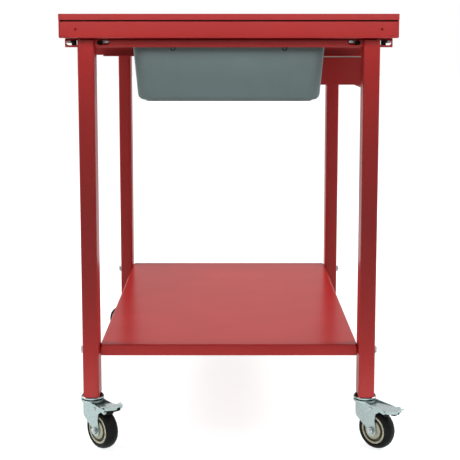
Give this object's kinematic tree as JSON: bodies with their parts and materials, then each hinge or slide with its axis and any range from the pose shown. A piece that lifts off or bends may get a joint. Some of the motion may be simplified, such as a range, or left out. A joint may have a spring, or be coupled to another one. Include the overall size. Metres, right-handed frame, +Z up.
{
  "type": "teardown table",
  "caption": "Mobile steel teardown table: drain basin top, slide-out drain tub, side drawer, lower shelf and swivel casters, the front ones with foot brakes.",
  "frame": {"origin": "on the floor, under the middle of the table", "axes": "+Z up, +Y along the length away from the end with the tub, +X towards the drawer front"},
  "size_m": [0.6763, 0.949, 0.865],
  "materials": {
    "red_powder_coat": "satin",
    "grey_plastic": "satin",
    "zinc_plate": "satin",
    "slide_steel": "satin",
    "bright_steel": "polished",
    "black_rubber": "satin",
    "black_plastic": "matt",
    "tan_plastic": "satin"
  },
  "bodies": {
    "frame": {"worktop_tray": "red_powder_coat", "drain_spout": "red_powder_coat", "end_apron_near": "red_powder_coat", "end_apron_far": "red_powder_coat", "leg_rail_near": "red_powder_coat", "leg_rail_far": "red_powder_coat", "top_stiffener_near": "red_powder_coat", "top_stiffener_far": "red_powder_coat", "lower_shelf": "red_powder_coat", "drawer_rail_near": "red_powder_coat", "drawer_rail_far": "red_powder_coat", "tub_runner": "red_powder_coat", "leg_front_left": "red_powder_coat", "leg_front_right": "red_powder_coat", "leg_rear_left": "red_powder_coat", "leg_rear_right": "red_powder_coat", "slide_outer_near": "slide_steel", "slide_outer_far": "slide_steel", "caster_race_front_left": "zinc_plate", "caster_race_front_right": "zinc_plate", "caster_race_rear_left": "zinc_plate", "caster_race_rear_right": "zinc_plate", "leg_plug_front_left": "black_plastic", "leg_plug_front_right": "black_plastic", "leg_plug_rear_left": "black_plastic", "leg_plug_rear_right": "black_plastic", "caster_bearing_front_left": "black_plastic", "caster_bearing_front_right": "black_plastic", "caster_bearing_rear_left": "black_plastic", "caster_bearing_rear_right": "black_plastic"},
    "drawer": {"drawer_box": "red_powder_coat", "drawer_front": "red_powder_coat", "slide_inner_near": "slide_steel", "slide_inner_far": "slide_steel"},
    "tub": {"drain_tub": "grey_plastic"},
    "fork_front_left": {"caster_fork_front_left": "zinc_plate", "caster_axle_front_left": "bright_steel", "pedal_pin_front_left": "bright_steel"},
    "wheel_front_left": {"wheel_hub_front_left": "tan_plastic", "wheel_tyre_front_left": "black_rubber"},
    "pedal_front_left": {"brake_pedal_front_left": "zinc_plate", "brake_shoe_front_left": "black_rubber"},
    "fork_front_right": {"caster_fork_front_right": "zinc_plate", "caster_axle_front_right": "bright_steel", "pedal_pin_front_right": "bright_steel"},
    "wheel_front_right": {"wheel_hub_front_right": "tan_plastic", "wheel_tyre_front_right": "black_rubber"},
    "pedal_front_right": {"brake_pedal_front_right": "zinc_plate", "brake_shoe_front_right": "black_rubber"},
    "fork_rear_left": {"caster_fork_rear_left": "zinc_plate", "caster_axle_rear_left": "bright_steel"},
    "wheel_rear_left": {"wheel_hub_rear_left": "tan_plastic", "wheel_tyre_rear_left": "black_rubber"},
    "fork_rear_right": {"caster_fork_rear_right": "zinc_plate", "caster_axle_rear_right": "bright_steel"},
    "wheel_rear_right": {"wheel_hub_rear_right": "tan_plastic", "wheel_tyre_rear_right": "black_rubber"}
  },
  "joints": [
    {"name": "drawer_slide", "type": "slide", "parent": "frame", "child": "drawer", "axis": [1, 0, 0], "range_m": [0, 0.3]},
    {"name": "tub_slide", "type": "slide", "parent": "frame", "child": "tub", "axis": [1, 0, 0], "range_m": [-0.3, 0.3]},
    {"name": "swivel_front_left", "type": "hinge", "parent": "frame", "child": "fork_front_left", "pos_m": [-0.276, -0.3995, 0.09], "axis": [0, 0, 1], "continuous": true},
    {"name": "roll_front_left", "type": "hinge", "parent": "fork_front_left", "child": "wheel_front_left", "pos_m": [-0.25438, -0.42309, 0.04], "axis": [0.7373, 0.6756, 0], "continuous": true},
    {"name": "brake_front_left", "type": "hinge", "parent": "fork_front_left", "child": "pedal_front_left", "pos_m": [-0.25573, -0.42162, 0.0843], "axis": [0.7373, 0.6756, 0], "range_deg": [0, 9.5]},
    {"name": "swivel_front_right", "type": "hinge", "parent": "frame", "child": "fork_front_right", "pos_m": [0.276, -0.3995, 0.09], "axis": [0, 0, 1], "continuous": true},
    {"name": "roll_front_right", "type": "hinge", "parent": "fork_front_right", "child": "wheel_front_right", "pos_m": [0.29803, -0.42271, 0.04], "axis": [0.7254, 0.6884, 0], "continuous": true},
    {"name": "brake_front_right", "type": "hinge", "parent": "fork_front_right", "child": "pedal_front_right", "pos_m": [0.29665, -0.42126, 0.0843], "axis": [0.7254, 0.6884, 0], "range_deg": [-9.5, 0]},
    {"name": "swivel_rear_left", "type": "hinge", "parent": "frame", "child": "fork_rear_left", "pos_m": [-0.276, 0.3995, 0.09], "axis": [0, 0, 1], "continuous": true},
    {"name": "roll_rear_left", "type": "hinge", "parent": "fork_rear_left", "child": "wheel_rear_left", "pos_m": [-0.29766, 0.42306, 0.04], "axis": [-0.7361, -0.6769, 0], "continuous": true},
    {"name": "swivel_rear_right", "type": "hinge", "parent": "frame", "child": "fork_rear_right", "pos_m": [0.276, 0.3995, 0.09], "axis": [0, 0, 1], "continuous": true},
    {"name": "roll_rear_right", "type": "hinge", "parent": "fork_rear_right", "child": "wheel_rear_right", "pos_m": [0.26098, 0.42775, 0.04], "axis": [-0.8829, -0.4695, 0], "continuous": true}
  ]
}
